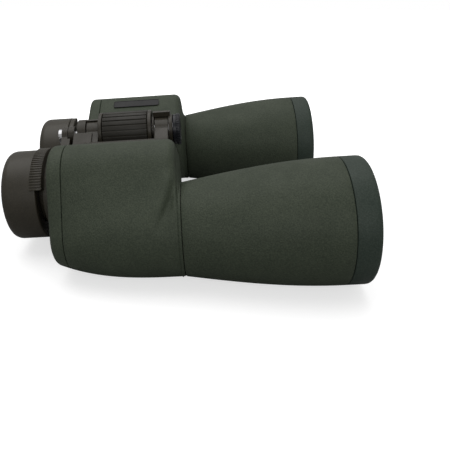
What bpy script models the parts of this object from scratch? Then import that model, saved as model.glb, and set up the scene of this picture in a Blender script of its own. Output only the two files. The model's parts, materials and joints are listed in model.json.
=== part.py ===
"""Porro prism binoculars, 50 mm class, lying ready for use.

+X runs to the objectives, +Y to the left half, +Z up.

Each half carries its objective barrel low and outboard, its eyepiece high and inboard, and the two prisms
fold the light between them through the corner above. Both halves turn on one hinge pin above the eyepieces.
All sizes are in millimetres; MM turns them into the scene's metres.
"""

import math

import bmesh
import bpy
from mathutils import Vector

MM = 0.001
GAP = 0.3            # left between any two touching pieces
RUN = 0.35           # radial clearance of a turning or sliding fit

# overall layout, seen from the eyepieces
BARREL_OUT = 70.0        # objective axis from the middle plane
EYE_OUT = 36.0           # eyepiece axis from the middle plane, half of the widest eye spacing
EYE_RISE = 10.0          # eyepiece axis above the objective axis
HINGE_RISE = 32.5        # hinge axis above the objective axis

# lengths along the optical axis, from the seam between prism housing and barrel
BARREL_LENGTH = 88.0
HOUSING_LENGTH = 64.0
COVER_DEPTH = 7.5
EYE_REACH = 93.8         # seam to the rim of the eyecup
BUMPER_LENGTH = 11.5

# radii of the skin
RIM_RADIUS = 31.5
ROOT_RADIUS = 23.3
SHOULDER = 4.5           # rounding where the housing turns into its front face
FACE_SET = 2.0           # front face of the housing behind the barrel seam
EYE_CORNER = 21.5        # prism housing corner around the eyepiece axis
PRISM_CORNER = 18.6      # prism housing corner above, where the two prisms meet
CORNER_IN = 1.9          # its centre lies this far inboard of the light's path there
CORNER_UP = 1.4          # and this far above it
CORNER_TAPER = 9.4       # how much that corner draws in towards the rear cover

# walls
ARMOUR = 2.0
CASTING = 1.8
SKIN = ARMOUR + GAP      # from the outer face to the metal under it
CORE = SKIN + CASTING    # from the outer face to the cavity

# optics
LENS_RADIUS = RIM_RADIUS - 6.5
RECESS = 10.0            # front glass behind the front rim
PRISM_HALF = 21.0        # half of a prism's long face
PRISM_WIDTH = 20.0
APERTURE = 8.5
STRAP_WIDTH = 5.0
STRAP_THICK = 0.9
SHELF = 1.8              # thickness of the plate between the prisms
SHELF_AT = -32.5

# eyepieces
CUP_RADIUS = 24.2
CUP_LENGTH = 18.8
TUBE_RADIUS = 15.5
TUBE_WALL = 1.8
SLEEVE_WALL = 1.2
SLEEVE_RADIUS = EYE_CORNER - CORE - RUN    # the sleeve fills the casting's corner
RING_RADIUS = 20.6
RING_LENGTH = 4.8
RING_GROOVE = 2.2        # open groove between eyecup and ring, bridged by the grip
TAB_SPAN = 80.0          # degrees of the raised finger grip on that ring
TAB_AT = {"right": 114.5, "left": 122.0}    # its middle, in degrees round from the left
TAB_RIBS = 24
TAB_PROUD = {"right": 0.9, "left": 0.0}     # stands this far above the eyecup
TAB_OVER = 2.8           # and a proud one reaches this far back over it
TAB_FRONT = -72.7        # front edge of the grip
TAB_TOOTH = 0.5
DIOPTRE_TRAVEL = 1.0

# hinge, from rear to front
EAR = 9.0                # knuckles of the left half
TONGUE = 8.0             # knuckles of the right half, which turn between them
FRONT_HOOD = 11.4        # the left half's wall over the front tongue
PIN = 5.0
PIN_BORE = 3.4
HINGE_REAR = -61.5       # rear end of the hinge
REAR_EAR = 5.0
REAR_TONGUE = 7.3
WHEEL_LENGTH = 31.0
WHEEL_RADIUS = 12.3
WHEEL_FLANGE = 2.1
WHEEL_RIBS = 24
WHEEL_TOOTH = 0.9
COLLAR = 1.2
FRONT_TONGUE = 7.9
FRONT_LUG = 2.2
WEB_ABOVE = 6.8          # the arms that carry the knuckles, above and below the line to the eyepiece
WEB_BELOW = 4.5
RAIL_ABOVE = 8.5         # the rail and the lumps on it
LUMP_AT = 6.2            # the right half's arms thicken from this far out
REAR_FLARE = 6.6         # its rear lump reaches backwards by this much, past the left half's ear
REAR_SHORT = 3.4         # and stops this far short of the tongue's front
RAIL_AT = WHEEL_RADIUS + 1.9    # the rail that joins the arms begins clear of the wheel
STEP = 0.1               # keeps faces of joined shapes from lying on one another
HUB_RADIUS = 5.3
HUB_REAR = -71.6
HUB_FRONT = -64.2
HUB_ARM = 8.0            # width of the bridge's arms
SPINDLE = 2.6
CAP_RADIUS = 8.9
CAP_LENGTH = 4.1
CAP_FLANGE = 2.2         # its knurled front
CAP_TEETH = 18

# badge
PLATE_AT = -47.0
PLATE_LENGTH = 30.6
PLATE_HEIGHT = 6.4
PLATE_TOP = -1.8

SEAM_X = (EYE_REACH - BARREL_LENGTH) / 2    # keeps the overall length centred on the origin
BARREL_Z = RIM_RADIUS                       # the rims stand on the ground plane
EYE_Z = BARREL_Z + EYE_RISE
HINGE_Z = BARREL_Z + HINGE_RISE
COVER_X = -HOUSING_LENGTH + COVER_DEPTH     # seam between housing and rear cover
FRONT_SEAM = BARREL_LENGTH - BUMPER_LENGTH
CUP_FRONT = -EYE_REACH + CUP_LENGTH
RING_REAR = CUP_FRONT + GAP
RING_FRONT = RING_REAR + RING_LENGTH
ARM_REAR = RING_FRONT + DIOPTRE_TRAVEL + 0.2
ARM_FRONT = ARM_REAR + 2.4

SIDES = {"right": -1, "left": 1}


def prism_corner():
    """Where the folded light passes between the prisms, square to both axes and above their line."""
    across = BARREL_OUT - EYE_OUT
    return (
        (BARREL_OUT + EYE_OUT + EYE_RISE) / 2,
        BARREL_Z + (EYE_RISE + across) / 2,
    )


CORNER_OUT, CORNER_Z = prism_corner()
HOUSING_CORNER = Vector((CORNER_OUT - CORNER_IN, CORNER_Z + CORNER_UP))


# ---------------------------------------------------------------- materials


def material(name, colour, roughness, metallic=0.0):
    made = bpy.data.materials.new(name)
    made.use_nodes = True
    shader = made.node_tree.nodes["Principled BSDF"]
    shader.inputs["Base Color"].default_value = (*colour, 1.0)
    shader.inputs["Roughness"].default_value = roughness
    shader.inputs["Metallic"].default_value = metallic
    made.diffuse_color = (*colour, 1.0)
    return made


# ---------------------------------------------------------------- bodies and objects


def clear_scene():
    for old in list(bpy.data.objects):
        bpy.data.objects.remove(old)


def make_bodies():
    """One empty for each moving group, standing on its joint's axis."""
    places = {"right_half": (0, 0), "left_half": (0, HINGE_Z), "bridge": (0, HINGE_Z)}
    places |= {"focus": (0, HINGE_Z), "tripod_plug": (0, HINGE_Z)}
    for side, sign in SIDES.items():
        for group in ("ocular", "cup_carrier", "cup"):
            places[f"{side}_{group}"] = (sign * EYE_OUT, EYE_Z)
    places["dioptre"] = (-EYE_OUT, EYE_Z)
    bodies = {}
    for name, (y, z) in places.items():
        empty = bpy.data.objects.new(f"body_{name}", None)
        empty.location = Vector((0, y, z)) * MM
        bpy.context.scene.collection.objects.link(empty)
        bodies[name] = empty
    return bodies


def finish(name, bm, body=None, look=None):
    """Turns a bmesh in world millimetres into an object that belongs to a body."""
    bmesh.ops.remove_doubles(bm, verts=bm.verts, dist=1e-4)
    bmesh.ops.recalc_face_normals(bm, faces=bm.faces)
    anchor = BODIES[body].location / MM if body else Vector()
    bmesh.ops.translate(bm, verts=bm.verts, vec=Vector((SEAM_X, 0, 0)) - anchor)
    bmesh.ops.scale(bm, verts=bm.verts, vec=(MM, MM, MM))
    mesh = bpy.data.meshes.new(name)
    bm.to_mesh(mesh)
    bm.free()
    mesh.shade_smooth()
    mesh.set_sharp_from_angle(angle=math.radians(35))
    made = bpy.data.objects.new(name, mesh)
    bpy.context.scene.collection.objects.link(made)
    if body:
        made.parent = BODIES[body]
    if look:
        mesh.materials.append(look)
    return made


def helper(name, bm):
    """A cutter, or a shape to join: it is no part of the object by itself."""
    made = finish(name, bm)
    made.hide_render = True
    made.display_type = "WIRE"
    return made


def combine(target, operation, *others):
    for other in others:
        step = target.modifiers.new(other.name, "BOOLEAN")
        step.operation = operation
        step.solver = "EXACT"
        step.object = other


# ---------------------------------------------------------------- shapes


def turned(profile, y, z, steps=24):
    """A profile of (x, radius) points turned round an axis along X.

    It closes on itself unless it ends on the axis.
    """
    bm = bmesh.new()
    points = [bm.verts.new((x, y, z + r)) for x, r in profile]
    pairs = list(zip(points, points[1:]))
    if profile[0][1] > 0 or profile[-1][1] > 0:
        pairs.append((points[-1], points[0]))
    edges = [bm.edges.new(pair) for pair in pairs]
    shape = points + edges
    centre, turn = (0, y, z), 2 * math.pi
    bmesh.ops.spin(bm, geom=shape, cent=centre, axis=(1, 0, 0), angle=turn, steps=steps, use_merge=True)
    return bm


def tube(x0, x1, inner, outer):
    return [(x0, inner), (x0, outer), (x1, outer), (x1, inner)]


def rod(x0, x1, radius):
    return [(x0, 0), (x0, radius), (x1, radius), (x1, 0)]


def add_strip(bm, a, b):
    """Joins two rings of corners with triangles, always cut along the same diagonal."""
    for k in range(len(a)):
        n = (k + 1) % len(a)
        bm.faces.new((a[k], a[n], b[n]))
        bm.faces.new((a[k], b[n], b[k]))


def add_rings(bm, rings, capped=True):
    """Joins rings of points one after another, and fills both ends."""
    made = [[bm.verts.new(p) for p in ring] for ring in rings]
    for a, b in zip(made, made[1:]):
        add_strip(bm, a, b)
    if capped:
        bm.faces.new(made[0])
        bm.faces.new(made[-1])
    return made


def loft(rings):
    bm = bmesh.new()
    add_rings(bm, rings)
    return bm


def block(x0, x1, outline):
    """An outline of (y, z) points drawn out along X."""
    return loft([[(x, y, z) for y, z in outline] for x in (x0, x1)])


def arc(centre, radius, start, end, steps):
    """Points of an arc round a centre, from one angle to another, in degrees."""
    turns = [math.radians(start + (end - start) * k / steps) for k in range(steps + 1)]
    return [(centre[0] + radius * math.cos(turn), centre[1] + radius * math.sin(turn)) for turn in turns]


def curved_slab(span, centre, inner, outer, start, end, steps):
    """A slab between two arcs round a centre, drawn out along X."""
    return block(*span, arc(centre, outer, start, end, steps) + arc(centre, inner, end, start, steps))


def lens_profile(front, front_sag, edge, back_sag, radius, rings=2):
    """(x, radius) points of a lens. A sag is positive where that face bulges outwards."""
    points = [(front - front_sag * (k / rings) ** 2, radius * k / rings) for k in range(rings + 1)]
    back = front - front_sag - edge - back_sag
    points += [(back + back_sag * (k / rings) ** 2, radius * k / rings) for k in range(rings, -1, -1)]
    return points


def root_corner(x):
    """Radius of the housing's corner round the objective axis: it draws in towards the rear."""
    return ROOT_RADIUS - CORNER_TAPER * (max(0.0, -x) / HOUSING_LENGTH) ** 3


def housing_ring(x, sign, depth, inset=0.0, barrel_only=False):
    """The housing's section: a tight skin round its three corners, depth below the outer face.

    The inset draws in the upper two corners only, as the front shoulder does.
    """
    corners = (
        (Vector((BARREL_OUT, BARREL_Z)), root_corner(x) - depth, 10),
        (HOUSING_CORNER, PRISM_CORNER - depth - inset, 5),
        (Vector((EYE_OUT, EYE_Z)), EYE_CORNER - depth - inset, 9),
    )
    turns = []
    for k, (centre, radius, _) in enumerate(corners):
        following, next_radius, _ = corners[(k + 1) % 3]
        way = following - centre
        turns.append(math.atan2(way.y, way.x) - math.acos((radius - next_radius) / way.length))
    ring = []
    for k, (centre, radius, points) in enumerate(corners):
        start = turns[k - 1]
        sweep = (turns[k] - start) % (2 * math.pi)
        for point in range(points):
            angle = start + sweep * (point + 0.5) / points
            middle, reach = corners[0][:2] if barrel_only else (centre, radius)
            out, up = middle.x + reach * math.cos(angle), middle.y + reach * math.sin(angle)
            ring.append((x, sign * out, up))
    return ring


def housing_rings(sign, depth, rear, front):
    """The housing's surface from the rear cover's seam, over the front shoulder, to the barrel's root."""
    rings = [housing_ring(x, sign, depth) for x in (rear, -46, SHELF_AT, -20)]
    back = 1.2 * depth
    start = -FACE_SET - SHOULDER - back
    for share in (0.0, 0.5, 1.0):
        turn = math.pi / 2 * share
        x = start + SHOULDER * math.sin(turn)
        rings.append(housing_ring(x, sign, depth, SHOULDER * (1 - math.cos(turn))))
    for x in (-FACE_SET + 0.6 - back, front):
        rings.append(housing_ring(x, sign, depth, SHOULDER, barrel_only=True))
    return rings


def shell(outer, inner):
    """A tube open at both ends, from the rings of its outer and inner faces."""
    bm = bmesh.new()
    outside = add_rings(bm, outer, capped=False)
    inside = add_rings(bm, inner, capped=False)
    add_strip(bm, outside[0], inside[0])
    add_strip(bm, outside[-1], inside[-1])
    return bm


def barrel_radius(x):
    """The barrel swells from its root to full width at the front seam."""
    share = min(1.0, max(0.0, x) / FRONT_SEAM)
    return ROOT_RADIUS + (RIM_RADIUS - ROOT_RADIUS) * math.sin(math.pi / 2 * share)


# ---------------------------------------------------------------- hinge stations


def hinge_stations():
    """Where each knuckle begins and ends, working forwards from the rear."""
    stations, x = {}, HINGE_REAR
    for name, length in (
        ("rear_ear", REAR_EAR),
        ("rear_tongue", REAR_TONGUE),
        ("wheel", WHEEL_LENGTH),
        ("collar", COLLAR),
        ("front_tongue", FRONT_TONGUE),
        ("front_lug", FRONT_LUG),
        ("cap", CAP_LENGTH),
    ):
        stations[name] = (x, x + length)
        x += length + GAP
    return stations


STATIONS = hinge_stations()
EYE_REACH_ACROSS = math.hypot(EYE_OUT, HINGE_RISE - EYE_RISE)    # hinge axis to eyepiece axis
HOUSING_AT = EYE_REACH_ACROSS - EYE_CORNER      # hinge axis to the face of the housing
ARM_END = (RAIL_AT + HOUSING_AT) / 2            # the arms end inside the rail, short of that face


def bar(name, sign, span, reach, start, end):
    """A bar lying between the hinge's axis and an eyepiece's.

    The span is along X, the reach is from the hinge's axis, and start and end are its extents
    below and above the line between the axes, at either end of the reach.
    """
    along = Vector((EYE_OUT * sign, EYE_RISE - HINGE_RISE)) / EYE_REACH_ACROSS
    up = Vector((-along.y, along.x)) * sign
    hinge = Vector((0, HINGE_Z))
    corners = ((reach[0], start[1]), (reach[1], end[1]), (reach[1], -end[0]), (reach[0], -start[0]))
    outline = [tuple(hinge + along * distance + up * shift) for distance, shift in corners]
    return helper(name, block(*span, outline))


# ---------------------------------------------------------------- one half: housing and barrel


def rail_span(side):
    """The rail runs from the rear tongue to this half's foremost knuckle."""
    last = STATIONS["front_tongue" if side == "right" else "front_lug"]
    return STATIONS["rear_tongue"][0] + 3 * STEP, last[1] - 3 * STEP


def knuckle(side, sign, part):
    """One knuckle with its arm, which reaches the rail."""
    x0, x1 = STATIONS[part]
    radius = TONGUE if side == "right" else EAR
    round_part = helper(f"{side}_{part}", turned(rod(x0 + STEP, x1 - STEP, radius), 0, HINGE_Z, 20))
    thick = (WEB_BELOW - STEP, WEB_ABOVE - STEP)
    return [round_part, bar(f"{side}_{part}_arm", sign, (x0, x1), (PIN / 4, ARM_END), thick, thick)]


def clevis(side, sign, name, first, last):
    """The left half's arm behind a tongue of the right half: it leaves room for the tongue to turn."""
    span = STATIONS[first][0] + 2 * STEP, STATIONS[last][1] - 2 * STEP
    thick = (WEB_BELOW - 2 * STEP, WEB_ABOVE - 2 * STEP)
    return bar(f"{side}_{name}", sign, span, (TONGUE + 0.5, ARM_END + STEP), thick, thick)


def hood(name, span, outer):
    """The left half's wall over the top of a tongue."""
    return helper(name, curved_slab(span, (0, HINGE_Z), TONGUE + 0.5, outer, -20, 100, 8))


def left_knuckles(side, sign):
    rear_tongue, front_tongue = STATIONS["rear_tongue"], STATIONS["front_tongue"]
    joined = [
        clevis(side, sign, "rear_clevis", "rear_ear", "rear_tongue"),
        clevis(side, sign, "front_clevis", "collar", "front_lug"),
        hood("rear_hood", (rear_tongue[0] - 1.0, rear_tongue[1] - 0.4), EAR - 0.15),
        hood("front_hood", (front_tongue[0] - 0.8, front_tongue[1] + 1.2), FRONT_HOOD),
    ]
    for part in ("rear_ear", "collar", "front_lug"):
        joined += knuckle(side, sign, part)
    return joined


def right_knuckles(side, sign):
    """Both tongues, each with a lump on its arm. The rear lump flares backwards, clear of the ear."""
    joined = knuckle(side, sign, "rear_tongue") + knuckle(side, sign, "front_tongue")
    thick = (WEB_BELOW - 2 * STEP, RAIL_ABOVE - 2 * STEP)
    reach = (LUMP_AT, ARM_END + STEP)
    x0, x1 = STATIONS["rear_tongue"]
    joined.append(bar("rear_lump", sign, (x0 + 2 * STEP, x1 - REAR_SHORT), reach, thick, thick))
    flare = bar("rear_flare", sign, (x0 - REAR_FLARE, x0 + 1.0), reach, thick, thick)
    clear = turned(rod(x0 - REAR_FLARE - 1, x0 - STEP, EAR + 0.5), 0, HINGE_Z, 32)
    combine(flare, "DIFFERENCE", helper("rear_flare_clearance", clear))
    x0, x1 = STATIONS["front_tongue"]
    front_lump = bar("front_lump", sign, (x0 + 2 * STEP, x1 - 2 * STEP), reach, thick, thick)
    return joined + [flare, front_lump]


def prism_housing(side, sign):
    rear = COVER_X + GAP / 2
    bm = shell(housing_rings(sign, SKIN, rear, 0.0), housing_rings(sign, CORE, rear, 0.0))
    casting = finish(f"{side}_prism_housing", bm, f"{side}_half", BLACK_METAL)
    joined = right_knuckles(side, sign) if side == "right" else left_knuckles(side, sign)
    inside = HOUSING_AT + SKIN + 1.4
    top, foot = (WEB_BELOW, RAIL_ABOVE), (WEB_BELOW + 1.0, RAIL_ABOVE - 2.0)
    joined.append(bar(f"{side}_rail", sign, rail_span(side), (RAIL_AT, inside), top, foot))
    pin_hole = helper(f"{side}_pin_hole", turned(rod(HINGE_REAR - 1, 1, PIN + GAP), 0, HINGE_Z, 20))
    combine(casting, "UNION", *joined)
    combine(casting, "DIFFERENCE", pin_hole)


def rail_window(side, sign):
    """The opening in the rubber through which the rail comes out."""
    x0, x1 = rail_span(side)
    reach = (RAIL_AT - 2, HOUSING_AT + SKIN + 3.0)
    start = (WEB_BELOW + GAP, RAIL_ABOVE + 2 * GAP)
    end = (WEB_BELOW + 1.0 + GAP, RAIL_ABOVE - 2.0 + GAP)
    return bar(f"{side}_rail_window", sign, (x0 - 5, x1 + GAP), reach, start, end)


def housing_armour(side, sign):
    rear, front = COVER_X + GAP / 2, -GAP / 2
    bm = shell(housing_rings(sign, 0.0, rear, front), housing_rings(sign, ARMOUR, rear, front))
    skin = finish(f"{side}_housing_armour", bm, f"{side}_half", GREEN_RUBBER)
    combine(skin, "DIFFERENCE", rail_window(side, sign))


def rear_cover(side, sign):
    end, front = -HOUSING_LENGTH, COVER_X - GAP / 2
    rings = [(front, 0), (end + 2.0, 0), (end + 0.6, 0.8), (end, 2.6)]
    rings = [housing_ring(x, sign, more) for x, more in rings]
    cover = finish(f"{side}_rear_cover", loft(rings), f"{side}_half", GREEN_RUBBER)
    hollow = [housing_ring(x, sign, CORE + 0.6) for x in (end + 2.2, front + 1)]
    pocket = helper(f"{side}_cover_pocket", loft(hollow))
    hole = SLEEVE_RADIUS + GAP
    bore = helper(f"{side}_cover_bore", turned(rod(end - 1, COVER_X + 1, hole), sign * EYE_OUT, EYE_Z, 24))
    combine(cover, "DIFFERENCE", pocket, bore)


def barrel_stations(first, last, count):
    return [first + (last - first) * k / count for k in range(count + 1)]


def barrel(side, sign):
    body = f"{side}_half"
    y = sign * BARREL_OUT
    spigot = ROOT_RADIUS - CORE - GAP
    tube_end = BARREL_LENGTH - 4
    stations = barrel_stations(GAP, FRONT_SEAM, 4)
    outer = [(x, barrel_radius(x) - SKIN) for x in stations] + [(tube_end, RIM_RADIUS - SKIN)]
    inner = [(x, r - CASTING) for x, r in reversed(outer)]
    inner[-1] = (GAP, spigot - 1.5)
    profile = [(-6, spigot - 1.5), (-6, spigot), (GAP, spigot), *outer, *inner]
    finish(f"{side}_objective_tube", turned(profile, y, BARREL_Z), body, BLACK_METAL)

    stations = barrel_stations(GAP / 2, FRONT_SEAM - GAP / 2, 4)
    outer = [(x, barrel_radius(x)) for x in stations]
    inner = [(x, r - ARMOUR) for x, r in reversed(outer)]
    finish(f"{side}_barrel_armour", turned(outer + inner, y, BARREL_Z), body, GREEN_RUBBER)

    start, end = FRONT_SEAM + GAP / 2, BARREL_LENGTH
    mouth = LENS_RADIUS + 2.2
    profile = [
        (start, RIM_RADIUS - ARMOUR),
        (start, RIM_RADIUS),
        (end - 2.0, RIM_RADIUS),
        (end - 0.5, RIM_RADIUS - 0.7),
        (end, RIM_RADIUS - 1.8),
        (end, mouth + 0.4),
        (end - 0.4, mouth),
        (tube_end + GAP, mouth),
        (tube_end + GAP, RIM_RADIUS - ARMOUR),
    ]
    finish(f"{side}_front_bumper", turned(profile, y, BARREL_Z), body, GREEN_RUBBER)


def objective(side, sign):
    """Cell, cemented pair and retaining ring, inside the front of the barrel."""
    body = f"{side}_half"
    y = sign * BARREL_OUT
    glass = BARREL_LENGTH - RECESS
    rear = glass - 13.0
    seat = barrel_radius(rear) - CORE - 1.5 * GAP
    bore = LENS_RADIUS + GAP
    front = glass + 3.5
    ledge = rear + 1.2
    lip = bore - 1.5
    profile = [(rear, lip), (rear, seat), (front, seat), (front, bore), (ledge, bore), (ledge, lip)]
    finish(f"{side}_objective_cell", turned(profile, y, BARREL_Z, 20), body, BLACK_METAL)
    crown = lens_profile(glass, 2.9, 1.5, 4.0, LENS_RADIUS)
    finish(f"{side}_objective_crown", turned(crown, y, BARREL_Z, 20), body, GLASS)
    flint_front = glass - 2.9 - 1.5 - 4.0 - GAP
    flint = lens_profile(flint_front, -4.0, 6.6, 0.2, LENS_RADIUS)
    finish(f"{side}_objective_flint", turned(flint, y, BARREL_Z, 20), body, GLASS)
    held = LENS_RADIUS - 1.4
    rests = glass - 2.9 * (held / LENS_RADIUS) ** 2 + GAP
    ring = tube(rests, glass + 1.2, held, LENS_RADIUS)
    finish(f"{side}_retaining_ring", turned(ring, y, BARREL_Z, 20), body, BLACK_METAL)


def prism_outline(centre_a, centre_b, half, width):
    """A prism's long face as (out, up) corners: it spans both light paths."""
    a, b = Vector(centre_a), Vector(centre_b)
    along = (b - a).normalized()
    across = Vector((-along.y, along.x)) * width / 2
    middle = (a + b) / 2
    run = along * half
    return [middle - run - across, middle + run - across, middle + run + across, middle - run + across]


def prism(name, body, sign, centres, base, height):
    """A right-angle prism: a long face at base, and its roof edge at base plus height."""
    bm = bmesh.new()
    p = prism_outline(*centres, PRISM_HALF, PRISM_WIDTH)
    foot = [bm.verts.new((base, sign * q.x, q.y)) for q in p]
    ridge = [(p[0] + p[1]) / 2, (p[2] + p[3]) / 2]
    top = [bm.verts.new((base + height, sign * q.x, q.y)) for q in ridge]
    bm.faces.new(foot)
    bm.faces.new((foot[0], foot[1], top[0]))
    bm.faces.new((foot[2], foot[3], top[1]))
    bm.faces.new((foot[1], foot[2], top[1], top[0]))
    bm.faces.new((foot[3], foot[0], top[0], top[1]))
    finish(name, bm, body, GLASS)


def prism_strap(name, body, sign, centres, base, height):
    """A bent spring strip over the prism's roof edge, its two feet on the shelf."""
    a, b = Vector(centres[0]), Vector(centres[1])
    along = (b - a).normalized()
    across = Vector((-along.y, along.x)) * STRAP_WIDTH / 2
    middle = (a + b) / 2
    lift = math.copysign(1.0, height)

    def bent(off):
        foot, roof = PRISM_HALF + off, abs(height) + off
        return [(-foot, base), (0.0, base + lift * roof), (foot, base)]

    path = bent(1.5 * GAP) + bent(1.5 * GAP + STRAP_THICK)[::-1]
    bm = bmesh.new()
    rings = []
    for edge in (across, -across):
        places = [(x, middle + along * run + edge) for run, x in path]
        rings.append([(x, sign * place.x, place.y) for x, place in places])
    add_rings(bm, rings)
    finish(name, bm, body, SPRING_STEEL)


def prism_set(side, sign):
    body = f"{side}_half"
    eye, corner, barrel_axis = (EYE_OUT, EYE_Z), (CORNER_OUT, CORNER_Z), (BARREL_OUT, BARREL_Z)
    x0, x1 = SHELF_AT - SHELF / 2, SHELF_AT + SHELF / 2
    rings = [housing_ring(x, sign, CORE + 1.5 * GAP) for x in (x0, x1)]
    shelf = finish(f"{side}_prism_shelf", loft(rings), body, BLACK_METAL)
    for number, (out, up) in enumerate((eye, corner, barrel_axis)):
        hole = turned(rod(x0 - 1, x1 + 1, APERTURE), sign * out, up, 12)
        combine(shelf, "DIFFERENCE", helper(f"{side}_aperture_{number}", hole))
    prism(f"{side}_rear_prism", body, sign, (barrel_axis, corner), x0 - GAP, -PRISM_HALF)
    prism(f"{side}_front_prism", body, sign, (corner, eye), x1 + GAP, PRISM_HALF)
    prism_strap(f"{side}_rear_prism_strap", body, sign, (barrel_axis, corner), x0 - GAP, -PRISM_HALF)
    prism_strap(f"{side}_front_prism_strap", body, sign, (corner, eye), x1 + GAP, PRISM_HALF)


# ---------------------------------------------------------------- one eyepiece


def grip_ring(side, sign, body):
    """The ring in front of the eyecup, with a finger grip that reaches back over the cup's edge."""
    ribbed = side == "right"
    centre = (sign * EYE_OUT, EYE_Z)
    open_rear = RING_REAR + RING_GROOVE
    profile = tube(open_rear, RING_FRONT, TUBE_RADIUS + RUN, RING_RADIUS)
    name = "dioptre_ring" if ribbed else "left_grip_ring"
    ring = finish(name, turned(profile, *centre, 36), body, BLACK_RUBBER)
    start, end = TAB_AT[side] - TAB_SPAN / 2, TAB_AT[side] + TAB_SPAN / 2
    top = CUP_RADIUS + TAB_PROUD[side]
    teeth = 2 * TAB_RIBS
    outside = arc(centre, top, start, end, teeth)
    if ribbed:
        cut = arc(centre, top - TAB_TOOTH, start, end, teeth)
        outside = [low if k % 2 else high for k, (high, low) in enumerate(zip(outside, cut))]
    foot = arc(centre, RING_RADIUS - 2.5, end, start, teeth)
    combine(ring, "UNION", helper(f"{side}_grip_foot", block(RING_REAR, open_rear + 1.0, outside + foot)))
    if TAB_PROUD[side] > GAP:
        lip = arc(centre, CUP_RADIUS + GAP, end, start, teeth)
        grip_lip = block(CUP_FRONT - TAB_OVER, TAB_FRONT, outside + lip)
        combine(ring, "UNION", helper(f"{side}_grip_lip", grip_lip))


def eyepiece(side, sign):
    y = sign * EYE_OUT
    moving = f"{side}_ocular"
    sleeve_bore = TUBE_RADIUS + RUN
    sleeve = tube(-HOUSING_LENGTH, COVER_X - GAP, sleeve_bore, SLEEVE_RADIUS)
    finish(f"{side}_eyepiece_sleeve", turned(sleeve, y, EYE_Z, 20), f"{side}_half", BLACK_METAL)

    inner, nose = TUBE_RADIUS - TUBE_WALL, TUBE_RADIUS - 3.0
    rear, neck, front = -EYE_REACH + 6.0, -57.0, -51.0
    profile = [
        (rear, inner - 1.5),
        (rear, TUBE_RADIUS),
        (neck, TUBE_RADIUS),
        (neck, nose),
        (front, nose),
        (front, nose - 1.5),
        (neck - 1.5, nose - 1.5),
        (neck - 1.5, inner),
        (rear + 1.5, inner),
        (rear + 1.5, inner - 1.5),
    ]
    finish(f"{side}_ocular_tube", turned(profile, y, EYE_Z, 20), moving, BLACK_METAL)
    eye_lens = lens_profile(rear + 10.0, 2.0, 2.0, 2.0, inner - GAP)
    finish(f"{side}_eye_lens", turned(eye_lens, y, EYE_Z, 20), moving, GLASS)
    field_lens = lens_profile(front - 0.5, 1.0, 2.0, 1.4, nose - 1.5 - GAP)
    finish(f"{side}_field_lens", turned(field_lens, y, EYE_Z, 20), moving, GLASS)

    carrier = tube(-EYE_REACH + 3.0, CUP_FRONT - 1.0, TUBE_RADIUS + RUN, TUBE_RADIUS + RUN + SLEEVE_WALL)
    finish(f"{side}_eyecup_carrier", turned(carrier, y, EYE_Z, 20), f"{side}_cup_carrier", BLACK_METAL)
    bore = TUBE_RADIUS + 2 * RUN + SLEEVE_WALL
    rim = -EYE_REACH
    profile = [
        (CUP_FRONT, bore),
        (CUP_FRONT, CUP_RADIUS - 0.5),
        (CUP_FRONT - 0.5, CUP_RADIUS),
        (rim + 3.2, CUP_RADIUS),
        (rim + 1.0, CUP_RADIUS - 1.0),
        (rim, CUP_RADIUS - 3.2),
        (rim, CUP_RADIUS - 4.4),
        (rim + 1.4, bore),
    ]
    finish(f"{side}_eyecup", turned(profile, y, EYE_Z), f"{side}_cup", BLACK_RUBBER)
    grip_ring(side, sign, "dioptre" if side == "right" else moving)


def bridge_arm(side, sign, rear, front):
    """Carries one eyepiece from the focusing spindle: a hub, an arm and a thin ring round the tube."""
    body = "bridge" if side == "right" else "left_ocular"
    bore = TUBE_RADIUS + RUN
    bm = turned(tube(ARM_REAR, ARM_FRONT, bore, RING_RADIUS - 1.2), sign * EYE_OUT, EYE_Z, 20)
    ring = finish(f"{side}_bridge_arm", bm, body, BLACK_METAL)
    beside_cup = EYE_REACH_ACROSS - CUP_RADIUS - 0.8
    outside_hub = HUB_RADIUS + 0.7
    wide, narrow = (HUB_ARM / 2, HUB_ARM / 2), (HUB_ARM / 2 - 0.5, HUB_ARM / 2 - 0.5)
    foot = (ARM_REAR + STEP, ARM_FRONT - STEP), (beside_cup - 2, EYE_REACH_ACROSS - bore - 1.2)
    body_part = (HUB_REAR + 2 * STEP, ARM_FRONT), (outside_hub, beside_cup)
    eye = (rear + STEP, front - STEP), (0.0, outside_hub + 1.5)
    joined = [
        bar(f"{side}_bridge_foot", sign, *foot, wide, (HUB_ARM * 0.7, HUB_ARM * 0.7)),
        bar(f"{side}_bridge_body", sign, *body_part, wide, wide),
        bar(f"{side}_bridge_eye", sign, *eye, narrow, narrow),
        helper(f"{side}_bridge_hub", turned(rod(rear, front, HUB_RADIUS), 0, HINGE_Z, 20)),
    ]
    hole = SPINDLE + (GAP if side == "right" else RUN)
    cut = turned(rod(rear - 1, front + 1, hole), 0, HINGE_Z, 16)
    combine(ring, "UNION", *joined)
    combine(ring, "DIFFERENCE", helper(f"{side}_hub_hole", cut))


# ---------------------------------------------------------------- centre


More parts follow.
